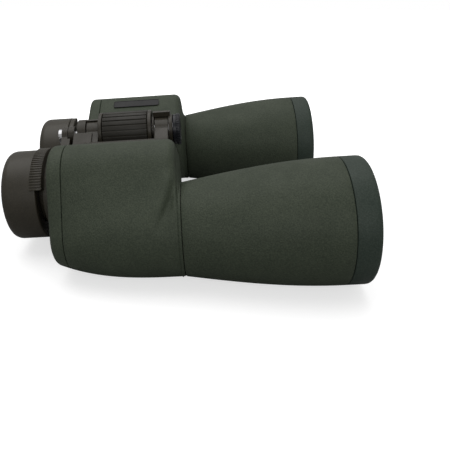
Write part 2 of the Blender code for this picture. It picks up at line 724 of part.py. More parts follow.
def centre():
    first, last = STATIONS["rear_ear"][0], STATIONS["front_lug"][1]
    finish("hinge_pin", turned(tube(first, last, PIN_BORE, PIN), 0, HINGE_Z, 20), "right_half", STEEL)

    x0, x1 = STATIONS["wheel"]
    core = WHEEL_RADIUS - 3.0
    bore = PIN + RUN
    grip_rear, grip_front = x0 + WHEEL_FLANGE, x1 - WHEEL_FLANGE
    profile = [
        (x0, bore),
        (x0, WHEEL_RADIUS),
        (grip_rear, WHEEL_RADIUS),
        (grip_rear, core),
        (grip_front, core),
        (grip_front, WHEEL_RADIUS),
        (x1, WHEEL_RADIUS),
        (x1, bore),
    ]
    finish("focus_wheel_core", turned(profile, 0, HINGE_Z, 24), "focus", BLACK_METAL)

    teeth = 2 * WHEEL_RIBS
    axis = (0, HINGE_Z)
    crests = arc(axis, WHEEL_RADIUS, 0, 360, teeth)
    valleys = arc(axis, WHEEL_RADIUS - WHEEL_TOOTH, 0, 360, teeth)
    outside = [valleys[k] if k % 2 else crests[k] for k in range(teeth)]
    inside = arc(axis, core + GAP, 0, 360, teeth)[:-1]
    ends = (grip_rear + GAP, grip_front - GAP)
    sleeve = shell(*[[[(x, y, z) for y, z in outline] for x in ends] for outline in (outside, inside)])
    finish("focus_wheel_grip", sleeve, "focus", BLACK_RUBBER)

    finish("focus_spindle", turned(rod(HUB_REAR, -24, SPINDLE), 0, HINGE_Z, 16), "bridge", STEEL)
    head = turned(rod(HUB_REAR - 2.2, HUB_REAR - GAP, SPINDLE + 1.6), 0, HINGE_Z, 20)
    screw = finish("spindle_screw", head, "bridge", STEEL)
    low, high = HINGE_Z - 0.5, HINGE_Z + 0.5
    slot = block(HUB_REAR - 3, HUB_REAR - 1.4, [(-8, low), (8, low), (8, high), (-8, high)])
    combine(screw, "DIFFERENCE", helper("screw_slot", slot))

    tripod_cap()


def tripod_cap():
    """Closes the tripod socket in the front end of the hinge pin."""
    x0, x1 = STATIONS["cap"]
    plug = PIN_BORE - RUN
    back = x1 - CAP_FLANGE
    profile = [(x0 - 8, 0), (x0 - 8, plug), (x0, plug), (x0, CAP_RADIUS), (back, CAP_RADIUS), (back, 0)]
    cap = finish("tripod_cap", turned(profile, 0, HINGE_Z, 20), "tripod_plug", BLACK_PLASTIC)
    axis, teeth = (0, HINGE_Z), 2 * CAP_TEETH
    crests, valleys = arc(axis, CAP_RADIUS + 0.4, 0, 360, teeth), arc(axis, CAP_RADIUS - 0.2, 0, 360, teeth)
    outline = [valleys[k] if k % 2 else crests[k] for k in range(teeth)]
    combine(cap, "UNION", helper("cap_flange", block(back - 2 * STEP, x1, outline)))


def name_plate():
    """A blank badge on the upper inboard flat of the left housing."""
    low, high = Vector((EYE_OUT, EYE_Z)), HOUSING_CORNER
    slope = (high - low).normalized()
    lean = (EYE_CORNER - PRISM_CORNER) / (high - low).length
    normal = Vector((-slope.y, slope.x)) * math.sqrt(1 - lean * lean) + slope * lean
    down = Vector((-normal.y, normal.x))
    face = high + normal * (PRISM_CORNER + GAP)
    near, far = down * PLATE_TOP, down * (PLATE_TOP + PLATE_HEIGHT)
    outline = [face + near, face + far, face + far + normal * 0.5, face + near + normal * 0.5]
    bm = block(PLATE_AT, PLATE_AT + PLATE_LENGTH, [tuple(p) for p in outline])
    finish("name_plate", bm, "left_half", BLACK_PLASTIC)


def build():
    for side, sign in SIDES.items():
        prism_housing(side, sign)
        housing_armour(side, sign)
        rear_cover(side, sign)
        barrel(side, sign)
        objective(side, sign)
        prism_set(side, sign)
        eyepiece(side, sign)
    middle = (HUB_REAR + HUB_FRONT) / 2
    bridge_arm("right", -1, HUB_REAR, middle - GAP / 2)
    bridge_arm("left", 1, middle + GAP / 2, HUB_FRONT)
    centre()
    name_plate()


clear_scene()
BODIES = make_bodies()
GREEN_RUBBER = material("green_rubber", (0.052, 0.066, 0.050), 0.62)
BLACK_RUBBER = material("black_rubber", (0.045, 0.040, 0.034), 0.55)
BLACK_METAL = material("black_painted_metal", (0.040, 0.036, 0.030), 0.42, 0.3)
BLACK_PLASTIC = material("black_plastic", (0.012, 0.012, 0.013), 0.30)
STEEL = material("turned_steel", (0.55, 0.55, 0.56), 0.30, 1.0)
SPRING_STEEL = material("spring_steel", (0.50, 0.51, 0.53), 0.35, 1.0)
GLASS = material("coated_glass", (0.35, 0.16, 0.20), 0.05)
build()
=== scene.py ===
import json
import math
import bmesh
import bpy
from mathutils import Matrix, Quaternion, Vector

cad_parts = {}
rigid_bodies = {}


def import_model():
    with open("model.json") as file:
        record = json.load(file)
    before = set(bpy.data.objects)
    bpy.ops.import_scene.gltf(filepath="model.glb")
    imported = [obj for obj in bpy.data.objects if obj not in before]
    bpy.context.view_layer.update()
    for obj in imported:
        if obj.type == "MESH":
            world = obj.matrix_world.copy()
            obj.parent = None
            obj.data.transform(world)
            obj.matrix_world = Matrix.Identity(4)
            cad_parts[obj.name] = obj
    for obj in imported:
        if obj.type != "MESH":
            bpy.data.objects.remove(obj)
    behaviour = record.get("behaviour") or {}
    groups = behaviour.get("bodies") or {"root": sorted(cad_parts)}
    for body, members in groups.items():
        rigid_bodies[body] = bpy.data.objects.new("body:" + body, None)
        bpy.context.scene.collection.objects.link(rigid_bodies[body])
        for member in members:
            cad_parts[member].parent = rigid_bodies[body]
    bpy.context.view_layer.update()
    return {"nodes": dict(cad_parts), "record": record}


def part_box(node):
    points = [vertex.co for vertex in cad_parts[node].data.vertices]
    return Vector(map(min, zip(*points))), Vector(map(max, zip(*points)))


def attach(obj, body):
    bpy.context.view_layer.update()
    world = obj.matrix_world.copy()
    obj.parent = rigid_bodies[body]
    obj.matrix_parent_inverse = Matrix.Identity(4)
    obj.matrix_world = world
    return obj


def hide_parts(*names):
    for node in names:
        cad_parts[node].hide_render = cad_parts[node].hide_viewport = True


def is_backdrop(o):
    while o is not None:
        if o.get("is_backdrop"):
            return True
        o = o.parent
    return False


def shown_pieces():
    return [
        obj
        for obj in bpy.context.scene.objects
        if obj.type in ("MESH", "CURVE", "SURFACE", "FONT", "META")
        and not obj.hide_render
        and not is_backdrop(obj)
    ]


for old in list(bpy.data.objects):
    bpy.data.objects.remove(old)
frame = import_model()
mm = 0.001
sides = {"right": -1, "left": 1}
print("frame loaded")

# finishes: linear colours, texture scales per metre, and shares from 0 to 1
finishValues = {
    "armourGreen": dict(
        dark=(0.0260, 0.0330, 0.0225), light=(0.0540, 0.0650, 0.0440), gloss=0.12, rough=0.58,
        grain=1500.0, bump=0.42, mottle=70.0, dust=0.05, wear=0.06),
    "bumperGreen": dict(
        dark=(0.0190, 0.0275, 0.0215), light=(0.0390, 0.0520, 0.0415), gloss=0.14, rough=0.54,
        grain=1500.0, bump=0.30, mottle=70.0, dust=0.04, wear=0.08),
    "cupRubber": dict(
        dark=(0.0200, 0.0175, 0.0120), light=(0.0400, 0.0345, 0.0240), gloss=0.26, rough=0.46,
        grain=2600.0, bump=0.16, mottle=60.0, dust=0.05, wear=0.05),
    "wheelRubber": dict(
        dark=(0.0160, 0.0150, 0.0125), light=(0.0300, 0.0275, 0.0225), gloss=0.16, rough=0.50,
        grain=2400.0, bump=0.14, mottle=110.0, dust=0.06, wear=0.10),
    "castPaint": dict(
        dark=(0.0190, 0.0165, 0.0115), light=(0.0370, 0.0320, 0.0235), gloss=0.22, rough=0.42,
        grain=3000.0, bump=0.12, mottle=85.0, dust=0.05, wear=0.12),
    "capPlastic": dict(
        dark=(0.0075, 0.0080, 0.0105), light=(0.0150, 0.0160, 0.0190), gloss=0.2, rough=0.33,
        grain=3400.0, bump=0.06, mottle=90.0, dust=0.05, wear=0.08),
    "badgeGloss": dict(
        dark=(0.0045, 0.0045, 0.0050), light=(0.0090, 0.0090, 0.0095), gloss=0.16, rough=0.42,
        grain=3600.0, bump=0.03, mottle=120.0, dust=0.04, wear=0.05),
}
pattern = dict(
    pebbleSoft=0.6, pebbleHeight=-0.7, brokenDetail=3.0, speckRange=(0.35, 0.72),
    broadDetail=5.0, broadRough=0.62, toneRange=(0.32, 0.68), dustRange=(0.1, 1.0),
    toneShare=0.22, speckShare=0.68, dustColour=(0.16, 0.155, 0.135), bumpDepth=0.0002,
)
metalValues = {
    "turnedSteel": dict(colour=(0.52, 0.52, 0.53), rough=0.30, stretch=(40.0, 1.0, 1.0), scale=60.0),
    "springSteel": dict(colour=(0.46, 0.47, 0.49), rough=0.26, stretch=(1.0, 12.0, 1.0), scale=90.0),
}
streaks = dict(darkShare=0.72, smoother=0.08, rougher=0.12, detail=4.0, bump=0.12, bumpDepth=0.0001)
glassValues = dict(
    tintA=(0.50, 0.62, 0.60), tintB=(0.60, 0.52, 0.66), refraction=1.52, coat=0.6,
    coatTint=(0.62, 0.80, 0.70), driftScale=22.0, smearRange=(0.015, 0.05),
)


def addSocket(tree, name, kind, inOut, value=None):
    socket = tree.interface.new_socket(name=name, in_out=inOut, socket_type=kind)
    if value is not None:
        socket.default_value = value
    return socket


def placeNode(tree, kind, x, y, **values):
    node = tree.nodes.new(kind)
    node.location = (x, y)
    for key, value in values.items():
        setattr(node, key, value)
    return node


# the low and high end of a Map Range node's input ("From") or output ("To")
def setRange(node, which, ends):
    node.inputs[f"{which} Min"].default_value, node.inputs[f"{which} Max"].default_value = ends


# fine moulded stipple: small pebbles broken up by noise
def makeGrainGroup():
    tree = bpy.data.node_groups.new("mouldedGrain", "ShaderNodeTree")
    addSocket(tree, "Vector", "NodeSocketVector", "INPUT")
    addSocket(tree, "Scale", "NodeSocketFloat", "INPUT", 1500.0)
    addSocket(tree, "Height", "NodeSocketFloat", "OUTPUT")
    addSocket(tree, "Speck", "NodeSocketFloat", "OUTPUT")
    source = placeNode(tree, "NodeGroupInput", -800, 0)
    result = placeNode(tree, "NodeGroupOutput", 500, 0)
    pebble = placeNode(tree, "ShaderNodeTexVoronoi", -500, 150, feature="SMOOTH_F1")
    pebble.inputs["Smoothness"].default_value = pattern["pebbleSoft"]
    broken = placeNode(tree, "ShaderNodeTexNoise", -500, -200)
    broken.inputs["Detail"].default_value = pattern["brokenDetail"]
    mixed = placeNode(tree, "ShaderNodeMath", -200, 60, operation="MULTIPLY_ADD")
    mixed.inputs[1].default_value = pattern["pebbleHeight"]
    speck = placeNode(tree, "ShaderNodeMapRange", 100, -200)
    setRange(speck, "From", pattern["speckRange"])
    tree.links.new(source.outputs["Vector"], pebble.inputs["Vector"])
    tree.links.new(source.outputs["Scale"], pebble.inputs["Scale"])
    tree.links.new(source.outputs["Vector"], broken.inputs["Vector"])
    tree.links.new(source.outputs["Scale"], broken.inputs["Scale"])
    tree.links.new(pebble.outputs["Distance"], mixed.inputs[0])
    tree.links.new(broken.outputs["Fac"], mixed.inputs[2])
    tree.links.new(broken.outputs["Fac"], speck.inputs["Value"])
    tree.links.new(mixed.outputs[0], result.inputs["Height"])
    tree.links.new(speck.outputs["Result"], result.inputs["Speck"])
    return tree


# handling marks and settled dust: broad patches, with dust only where the surface looks up
def makeHandlingGroup():
    tree = bpy.data.node_groups.new("handlingMarks", "ShaderNodeTree")
    addSocket(tree, "Vector", "NodeSocketVector", "INPUT")
    addSocket(tree, "Scale", "NodeSocketFloat", "INPUT", 70.0)
    addSocket(tree, "Dust", "NodeSocketFloat", "INPUT", 0.1)
    addSocket(tree, "Wear", "NodeSocketFloat", "INPUT", 0.1)
    addSocket(tree, "Tone", "NodeSocketFloat", "OUTPUT")
    addSocket(tree, "Dusted", "NodeSocketFloat", "OUTPUT")
    addSocket(tree, "Rubbed", "NodeSocketFloat", "OUTPUT")
    source = placeNode(tree, "NodeGroupInput", -900, 0)
    result = placeNode(tree, "NodeGroupOutput", 700, 0)
    broad = placeNode(tree, "ShaderNodeTexNoise", -600, 200)
    broad.inputs["Detail"].default_value = pattern["broadDetail"]
    broad.inputs["Roughness"].default_value = pattern["broadRough"]
    tone = placeNode(tree, "ShaderNodeMapRange", -300, 250)
    setRange(tone, "From", pattern["toneRange"])
    facing = placeNode(tree, "ShaderNodeNewGeometry", -900, -250)
    split = placeNode(tree, "ShaderNodeSeparateXYZ", -650, -250)
    upward = placeNode(tree, "ShaderNodeMapRange", -400, -250)
    setRange(upward, "From", pattern["dustRange"])
    dusted = placeNode(tree, "ShaderNodeMath", -100, -200, operation="MULTIPLY")
    dustLevel = placeNode(tree, "ShaderNodeMath", 150, -200, operation="MULTIPLY")
    rubbed = placeNode(tree, "ShaderNodeMath", 150, 100, operation="MULTIPLY")
    tree.links.new(source.outputs["Vector"], broad.inputs["Vector"])
    tree.links.new(source.outputs["Scale"], broad.inputs["Scale"])
    tree.links.new(broad.outputs["Fac"], tone.inputs["Value"])
    tree.links.new(facing.outputs["Normal"], split.inputs[0])
    tree.links.new(split.outputs["Z"], upward.inputs["Value"])
    tree.links.new(upward.outputs["Result"], dusted.inputs[0])
    tree.links.new(broad.outputs["Fac"], dusted.inputs[1])
    tree.links.new(dusted.outputs[0], dustLevel.inputs[0])
    tree.links.new(source.outputs["Dust"], dustLevel.inputs[1])
    tree.links.new(tone.outputs["Result"], rubbed.inputs[0])
    tree.links.new(source.outputs["Wear"], rubbed.inputs[1])
    tree.links.new(tone.outputs["Result"], result.inputs["Tone"])
    tree.links.new(dustLevel.outputs[0], result.inputs["Dusted"])
    tree.links.new(rubbed.outputs[0], result.inputs["Rubbed"])
    return tree


mouldedGrain = makeGrainGroup()
handlingMarks = makeHandlingGroup()


def makeFinish(name, values):
    made = bpy.data.materials.new(name)
    made.use_nodes = True
    tree = made.node_tree
    shader = tree.nodes["Principled BSDF"]
    shader.inputs["Specular IOR Level"].default_value = values["gloss"]
    place = placeNode(tree, "ShaderNodeTexCoord", -1300, 0)
    grain = placeNode(tree, "ShaderNodeGroup", -1000, -200, node_tree=mouldedGrain)
    grain.inputs["Scale"].default_value = values["grain"]
    marks = placeNode(tree, "ShaderNodeGroup", -1000, 200, node_tree=handlingMarks)
    marks.inputs["Scale"].default_value = values["mottle"]
    marks.inputs["Dust"].default_value = values["dust"]
    marks.inputs["Wear"].default_value = values["wear"]
    colour = placeNode(tree, "ShaderNodeMix", -650, 300, data_type="RGBA")
    colour.inputs["A"].default_value = (*values["dark"], 1)
    colour.inputs["B"].default_value = (*values["light"], 1)
    blend = placeNode(tree, "ShaderNodeMath", -820, 80, operation="MULTIPLY_ADD")
    blend.inputs[1].default_value = pattern["toneShare"]
    blend.use_clamp = True
    speckShare = placeNode(tree, "ShaderNodeMath", -820, -80, operation="MULTIPLY")
    speckShare.inputs[1].default_value = pattern["speckShare"]
    dusty = placeNode(tree, "ShaderNodeMix", -400, 300, data_type="RGBA")
    dusty.inputs["B"].default_value = (*pattern["dustColour"], 1)
    rough = placeNode(tree, "ShaderNodeMath", -400, 0, operation="SUBTRACT")
    rough.inputs[0].default_value = values["rough"]
    bump = placeNode(tree, "ShaderNodeBump", -400, -250)
    bump.inputs["Strength"].default_value = values["bump"]
    bump.inputs["Distance"].default_value = pattern["bumpDepth"]
    tree.links.new(place.outputs["Object"], grain.inputs["Vector"])
    tree.links.new(place.outputs["Object"], marks.inputs["Vector"])
    tree.links.new(grain.outputs["Speck"], speckShare.inputs[0])
    tree.links.new(marks.outputs["Tone"], blend.inputs[0])
    tree.links.new(speckShare.outputs[0], blend.inputs[2])
    tree.links.new(blend.outputs[0], colour.inputs["Factor"])
    tree.links.new(colour.outputs["Result"], dusty.inputs["A"])
    tree.links.new(marks.outputs["Dusted"], dusty.inputs["Factor"])
    tree.links.new(dusty.outputs["Result"], shader.inputs["Base Color"])
    tree.links.new(marks.outputs["Rubbed"], rough.inputs[1])
    tree.links.new(rough.outputs[0], shader.inputs["Roughness"])
    tree.links.new(grain.outputs["Height"], bump.inputs["Height"])
    tree.links.new(bump.outputs["Normal"], shader.inputs["Normal"])
    return made


# turned or rolled metal: rings or streaks along one direction
def makeMetal(name, colour, rough, stretch, scale):
    made = bpy.data.materials.new(name)
    made.use_nodes = True
    tree = made.node_tree
    shader = tree.nodes["Principled BSDF"]
    shader.inputs["Metallic"].default_value = 1.0
    place = placeNode(tree, "ShaderNodeTexCoord", -1100, 0)
    mapping = placeNode(tree, "ShaderNodeMapping", -900, 0)
    mapping.inputs["Scale"].default_value = stretch
    streak = placeNode(tree, "ShaderNodeTexNoise", -680, 0)
    streak.inputs["Scale"].default_value = scale
    streak.inputs["Detail"].default_value = streaks["detail"]
    tint = placeNode(tree, "ShaderNodeMix", -350, 200, data_type="RGBA")
    tint.inputs["A"].default_value = (*[c * streaks["darkShare"] for c in colour], 1)
    tint.inputs["B"].default_value = (*colour, 1)
    rougher = placeNode(tree, "ShaderNodeMapRange", -350, -50)
    setRange(rougher, "To", (rough - streaks["smoother"], rough + streaks["rougher"]))
    bump = placeNode(tree, "ShaderNodeBump", -350, -300)
    bump.inputs["Strength"].default_value = streaks["bump"]
    bump.inputs["Distance"].default_value = streaks["bumpDepth"]
    tree.links.new(place.outputs["Object"], mapping.inputs["Vector"])
    tree.links.new(mapping.outputs["Vector"], streak.inputs["Vector"])
    tree.links.new(streak.outputs["Fac"], tint.inputs["Factor"])
    tree.links.new(streak.outputs["Fac"], rougher.inputs["Value"])
    tree.links.new(streak.outputs["Fac"], bump.inputs["Height"])
    tree.links.new(tint.outputs["Result"], shader.inputs["Base Color"])
    tree.links.new(rougher.outputs["Result"], shader.inputs["Roughness"])
    tree.links.new(bump.outputs["Normal"], shader.inputs["Normal"])
    return made


# lens glass with a coating whose colour drifts a little over the surface
def makeGlass(name, values):
    made = bpy.data.materials.new(name)
    made.use_nodes = True
    tree = made.node_tree
    shader = tree.nodes["Principled BSDF"]
    shader.inputs["Transmission Weight"].default_value = 1.0
    shader.inputs["IOR"].default_value = values["refraction"]
    shader.inputs["Coat Weight"].default_value = values["coat"]
    shader.inputs["Coat Tint"].default_value = (*values["coatTint"], 1)
    place = placeNode(tree, "ShaderNodeTexCoord", -900, 0)
    drift = placeNode(tree, "ShaderNodeTexNoise", -650, 0)
    drift.inputs["Scale"].default_value = values["driftScale"]
    tint = placeNode(tree, "ShaderNodeMix", -350, 200, data_type="RGBA")
    tint.inputs["A"].default_value = (*values["tintA"], 1)
    tint.inputs["B"].default_value = (*values["tintB"], 1)
    smear = placeNode(tree, "ShaderNodeMapRange", -350, -50)
    setRange(smear, "To", values["smearRange"])
    tree.links.new(place.outputs["Object"], drift.inputs["Vector"])
    tree.links.new(drift.outputs["Fac"], tint.inputs["Factor"])
    tree.links.new(drift.outputs["Fac"], smear.inputs["Value"])
    tree.links.new(tint.outputs["Result"], shader.inputs["Base Color"])
    tree.links.new(smear.outputs["Result"], shader.inputs["Roughness"])
    return made


finishes = {name: makeFinish(name, values) for name, values in finishValues.items()}
finishes.update({name: makeMetal(name, **values) for name, values in metalValues.items()})
finishes["coatedGlass"] = makeGlass("coatedGlass", glassValues)
slotFinish = {
    "green_rubber": "armourGreen",
    "black_rubber": "cupRubber",
    "black_painted_metal": "castPaint",
    "black_plastic": "capPlastic",
    "turned_steel": "turnedSteel",
    "spring_steel": "springSteel",
    "coated_glass": "coatedGlass",
}
slotOf = {part["node"]: part["material_slot"] for part in frame["record"]["subparts"]}
bodyOf = {node: body for body, nodes in frame["record"]["behaviour"]["bodies"].items() for node in nodes}
for node, piece in frame["nodes"].items():
    piece.data.materials.clear()
    piece.data.materials.append(finishes[slotFinish[slotOf[node]]])
print("finishes made")

# making pieces: smallTurn and largeTurn are the steps in a turned shape, seam is the step between two skins
smallTurn, largeTurn = 112, 128
seam = dict(gap=0.3, lip=0.3, bendAlong=0.35, bendIn=0.3)


# puts a closed mesh, given in millimetres, into the scene as a piece that stands for some nodes
def addPiece(name, bm, node, finish=None, replaced=(), sharp=32):
    bmesh.ops.remove_doubles(bm, verts=bm.verts, dist=1e-4)
    bmesh.ops.recalc_face_normals(bm, faces=bm.faces)
    bmesh.ops.scale(bm, verts=bm.verts, vec=(mm, mm, mm))
    mesh = bpy.data.meshes.new(name)
    bm.to_mesh(mesh)
    bm.free()
    addMesh(name, mesh, node, finish, replaced, sharp)


def addMesh(name, mesh, node, finish=None, replaced=(), sharp=32):
    mesh.shade_smooth()
    mesh.set_sharp_from_angle(angle=math.radians(sharp))
    mesh.materials.clear()
    mesh.materials.append(finishes[finish or slotFinish[slotOf[node]]])
    piece = bpy.data.objects.new(name, mesh)
    bpy.context.scene.collection.objects.link(piece)
    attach(piece, bodyOf[node])
    if replaced:
        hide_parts(*replaced)
    return piece


def boxOf(node):
    low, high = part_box(node)
    return low / mm, high / mm


# rounds the corners of a closed outline of (x, radius) points
def softened(outline, radius, steps=4):
    made = []
    count = len(outline)
    for k, point in enumerate(outline):
        here = Vector(point)
        before, after = Vector(outline[k - 1]), Vector(outline[(k + 1) % count])
        if here.y < 1e-6:
            made.append(tuple(here))
            continue
        reach = min(radius, 0.45 * (before - here).length, 0.45 * (after - here).length)
        start, end = here + (before - here).normalized() * reach, here + (after - here).normalized() * reach
        for step in range(steps + 1):
            share = step / steps
            made.append(tuple(start.lerp(here, share).lerp(here.lerp(end, share), share)))
    return made


# an outline turned round an axis along X
def turnedShape(outline, y, z, steps=smallTurn):
    bm = bmesh.new()
    closed = outline[0][1] > 1e-6 or outline[-1][1] > 1e-6
    rings = []
    for x, radius in outline:
        if radius < 1e-6:
            rings.append([bm.verts.new((x, y, z))])
            continue
        turns = [2 * math.pi * k / steps for k in range(steps)]
        rings.append([bm.verts.new((x, y + radius * math.cos(a), z + radius * math.sin(a))) for a in turns])
    pairs = list(zip(rings, rings[1:]))
    if closed:
        pairs.append((rings[-1], rings[0]))
    for a, b in pairs:
        for k in range(steps):
            n = (k + 1) % steps
            corners = [a[k % len(a)], a[n % len(a)], b[n % len(b)], b[k % len(b)]]
            corners = [c for i, c in enumerate(corners) if c not in corners[:i]]
            if len(corners) > 2:
                bm.faces.new(corners)
    return bm


# the outline that a turned node was made from, as (x, radius) points in order
def outlineOf(node, y, z):
    source = bmesh.new()
    source.from_mesh(frame["nodes"][node].data)
    bmesh.ops.remove_doubles(source, verts=source.verts, dist=1e-6)

    def keyOf(v):
        return round(v.co.x / mm, 2), round(math.hypot(v.co.y / mm - y, v.co.z / mm - z), 1)

    links, exact = {}, {}
    for v in source.verts:
        exact.setdefault(keyOf(v), (v.co.x / mm, math.hypot(v.co.y / mm - y, v.co.z / mm - z)))
    for edge in source.edges:
        a, b = keyOf(edge.verts[0]), keyOf(edge.verts[1])
        if a != b:
            links.setdefault(a, set()).add(b)
            links.setdefault(b, set()).add(a)
    source.free()
    ends = [k for k in links if len(links[k]) == 1 or k[1] == 0.0]
    path = [min(ends or links)]
    while True:
        further = sorted(k for k in links[path[-1]] if k not in path)
        if not further:
            break
        path.append(further[0])
    return [exact[k] if k[1] > 0.05 else (exact[k][0], 0.0) for k in path]


# a mesh through closed rings of points, capped at both ends or else joined round
def joinRings(rings, capped=False):
    bm = bmesh.new()
    made = [[bm.verts.new(p) for p in ring] for ring in rings]
    pairs = list(zip(made, made[1:]))
    if not capped:
        pairs.append((made[-1], made[0]))
    for a, b in pairs:
        for k in range(len(a)):
            n = (k + 1) % len(a)
            bm.faces.new((a[k], a[n], b[n], b[k]))
    if capped:
        bm.faces.new(made[0])
        bm.faces.new(made[-1])
    return bm


# the turned-in edge of a skin beside a seam, inside first, as (way from the seam, depth under the skin)
def seamEdge(wall):
    return [(0.0, wall), (0.0, seam["lip"]), (seam["bendAlong"] * seam["lip"], seam["bendIn"] * seam["lip"])]


def spread(first, last, count):
    return [first + (last - first) * k / (count - 1) for k in range(count)]


# housings and rear covers
housing = dict(
    barrel=(70.0, 31.5), corner=(56.1, 54.9), eye=(36.0, 41.5),
    barrelRadius=23.3, cornerRadius=18.6, eyeRadius=21.5,
    length=64.0, taper=9.4, taperPower=3, shoulder=4.5, faceSet=2.0, lining=1.8, seamWall=1.2,
    arcPoints=(44, 16, 26), flatPoints=(34, 8, 10),
    sideSplit=(-19.0, -18.4), sideRings=(14, 24), shoulderRings=10,
    faceEdge=(0.25, 0.8), rootFillet=((0.5, -0.45), (0.8, -0.12), (1.1, 0.0)), liningAt=(1.6, 2.0, -32.0),
)
crease = dict(
    depth=1.7, rear=-11.5, front=-1.4, low=-8.5, high=17.0, rise=2.0, fade=0.25,
    end=2.5, steep=1.5, gentle=3.6, swell=0.95, swellBack=4.4, swellWidth=2.9,
)
cover = dict(
    depth=7.5, hole=17.35, round=2.6, roundRings=7, sideRings=5, seamWall=1.6,
    holeRound=((0.0, 1.1), (0.1, 0.45), (0.5, 0.0), (2.2, 0.0)), backAt=2.3, backDepth=4.6,
)
offCrease = 99.0
seamX = boxOf("right_barrel_armour")[0].x - seam["gap"] / 2


# how far the skin dips along the fold where the barrel's root runs out of the housing's side
def creaseDip(x, along):
    c = crease
    share = (along - c["low"]) / (c["high"] - c["low"])
    if share <= 0 or share > 1 + c["fade"]:
        return 0.0
    away = x - (c["rear"] + (c["front"] - c["rear"]) * min(1.0, share))
    fade = min(1.0, share * c["rise"]) * (1.0 if share < 1 else 1 - (share - 1) / c["fade"])
    fade *= min(1.0, max(0.0, (-housing["faceSet"] - x) / c["end"]))
    width = c["steep"] if away < 0 else c["gentle"]
    valley = math.exp(-((away / width) ** 2))
    swelling = math.exp(-(((away + c["swellBack"]) / c["swellWidth"]) ** 2))
    return fade * (c["depth"] * valley - c["swell"] * swelling)


# one section of the housing's skin: three rounded corners and the flats between them
def housingSection(x, sign, depth=0.0, inset=0.0, barrelOnly=False, creased=False):
    h = housing
    root = h["barrelRadius"] - h["taper"] * (max(0.0, -x) / h["length"]) ** h["taperPower"] - depth
    corners = (
        (Vector(h["barrel"]), root),
        (Vector(h["corner"]), h["cornerRadius"] - depth - inset),
        (Vector(h["eye"]), h["eyeRadius"] - depth - inset),
    )
    turns = []
    for k, (centre, radius) in enumerate(corners):
        following, nextRadius = corners[(k + 1) % 3]
        way = following - centre
        turns.append(math.atan2(way.y, way.x) - math.acos((radius - nextRadius) / way.length))
    ring = []

    def put(base, angle, along):
        heading = Vector((math.cos(angle), math.sin(angle)))
        spot = corners[0][0] + heading * root if barrelOnly else base
        if creased:
            spot = spot - heading * creaseDip(x, along)
        ring.append((x + seamX, sign * spot.x, spot.y))

    for k, (centre, radius) in enumerate(corners):
        start = turns[k - 1]
        sweep = (turns[k] - start) % (2 * math.pi)
        for step in range(h["arcPoints"][k] + 1):
            angle = start + sweep * step / h["arcPoints"][k]
            heading = Vector((math.cos(angle), math.sin(angle)))
            along = (angle - turns[0]) * root if k == 0 else offCrease
            if k == 0 and angle - turns[0] > math.pi:
                along -= 2 * math.pi * root
            put(centre + heading * radius, angle, along)
        heading = Vector((math.cos(turns[k]), math.sin(turns[k])))
        following, nextRadius = corners[(k + 1) % 3]
        leave, arrive = centre + heading * radius, following + heading * nextRadius
        for step in range(1, h["flatPoints"][k]):
            share = step / h["flatPoints"][k]
            along = (arrive - leave).length * share if k == 0 else offCrease
            put(leave.lerp(arrive, share), turns[k], along)
    return ring


def makeHousing(side, sign):
    h = housing
    rear, front = -h["length"] + cover["depth"] + seam["gap"] / 2, -seam["gap"] / 2
    face = -h["faceSet"]
    start = face - h["shoulder"]
    rings = [housingSection(rear + way, sign, depth) for way, depth in seamEdge(h["seamWall"])]
    xs = spread(rear + seam["lip"], h["sideSplit"][0], h["sideRings"][0])
    xs += spread(h["sideSplit"][1], start, h["sideRings"][1])
    rings += [housingSection(x, sign, creased=True) for x in xs]
    for step in range(1, h["shoulderRings"] + 1):
        turn = math.pi / 2 * step / h["shoulderRings"]
        x, inset = start + h["shoulder"] * math.sin(turn), h["shoulder"] * (1 - math.cos(turn))
        rings.append(housingSection(x, sign, 0.0, inset, creased=True))
    rings.append(housingSection(face + h["faceEdge"][0], sign, 0.0, h["shoulder"] + h["faceEdge"][1]))
    for way, depth in h["rootFillet"]:
        rings.append(housingSection(face + way, sign, depth, barrelOnly=True))
    rings.append(housingSection(front - seam["lip"], sign, barrelOnly=True))
    for way, depth in reversed(seamEdge(h["seamWall"])):
        rings.append(housingSection(front - way, sign, depth, barrelOnly=True))
    faceLining, shoulderLining, rearLining = h["liningAt"]
    rings.append(housingSection(face - faceLining, sign, h["lining"], h["shoulder"]))
    rings.append(housingSection(start - shoulderLining, sign, h["lining"]))
    rings.append(housingSection(rearLining, sign, h["lining"]))
    node = f"{side}_housing_armour"
    addPiece(f"{side}HousingArmour", joinRings(rings), node, replaced=[node], sharp=50)


def makeRearCover(side, sign):
    end = -housing["length"]
    front = end + cover["depth"] - seam["gap"] / 2
    rings = [housingSection(front - way, sign, depth) for way, depth in seamEdge(cover["seamWall"])]
    xs = spread(front - seam["lip"], end + cover["round"], cover["sideRings"])
    rings += [housingSection(x, sign) for x in xs]
    for step in range(1, cover["roundRings"] + 1):
        turn = math.pi / 2 * step / cover["roundRings"]
        x, depth = end + cover["round"] * (1 - math.sin(turn)), cover["round"] * (1 - math.cos(turn))
        rings.append(housingSection(x, sign, depth))
    eye = Vector((sign * housing["eye"][0], housing["eye"][1]))
    outer = [Vector((y, z)) - eye for _, y, z in housingSection(end, sign, cover["round"])]
    for way, more in cover["holeRound"]:
        radius = cover["hole"] + more
        rings.append([(end + way + seamX, *(eye + spoke.normalized() * radius)) for spoke in outer])
    rings.append(housingSection(end + cover["backAt"], sign, cover["backDepth"]))
    node = f"{side}_rear_cover"
    addPiece(f"{side}RearCover", joinRings(rings), node, replaced=[node], sharp=50)


for side, sign in sides.items():
    makeHousing(side, sign)
    makeRearCover(side, sign)
print("housings made")

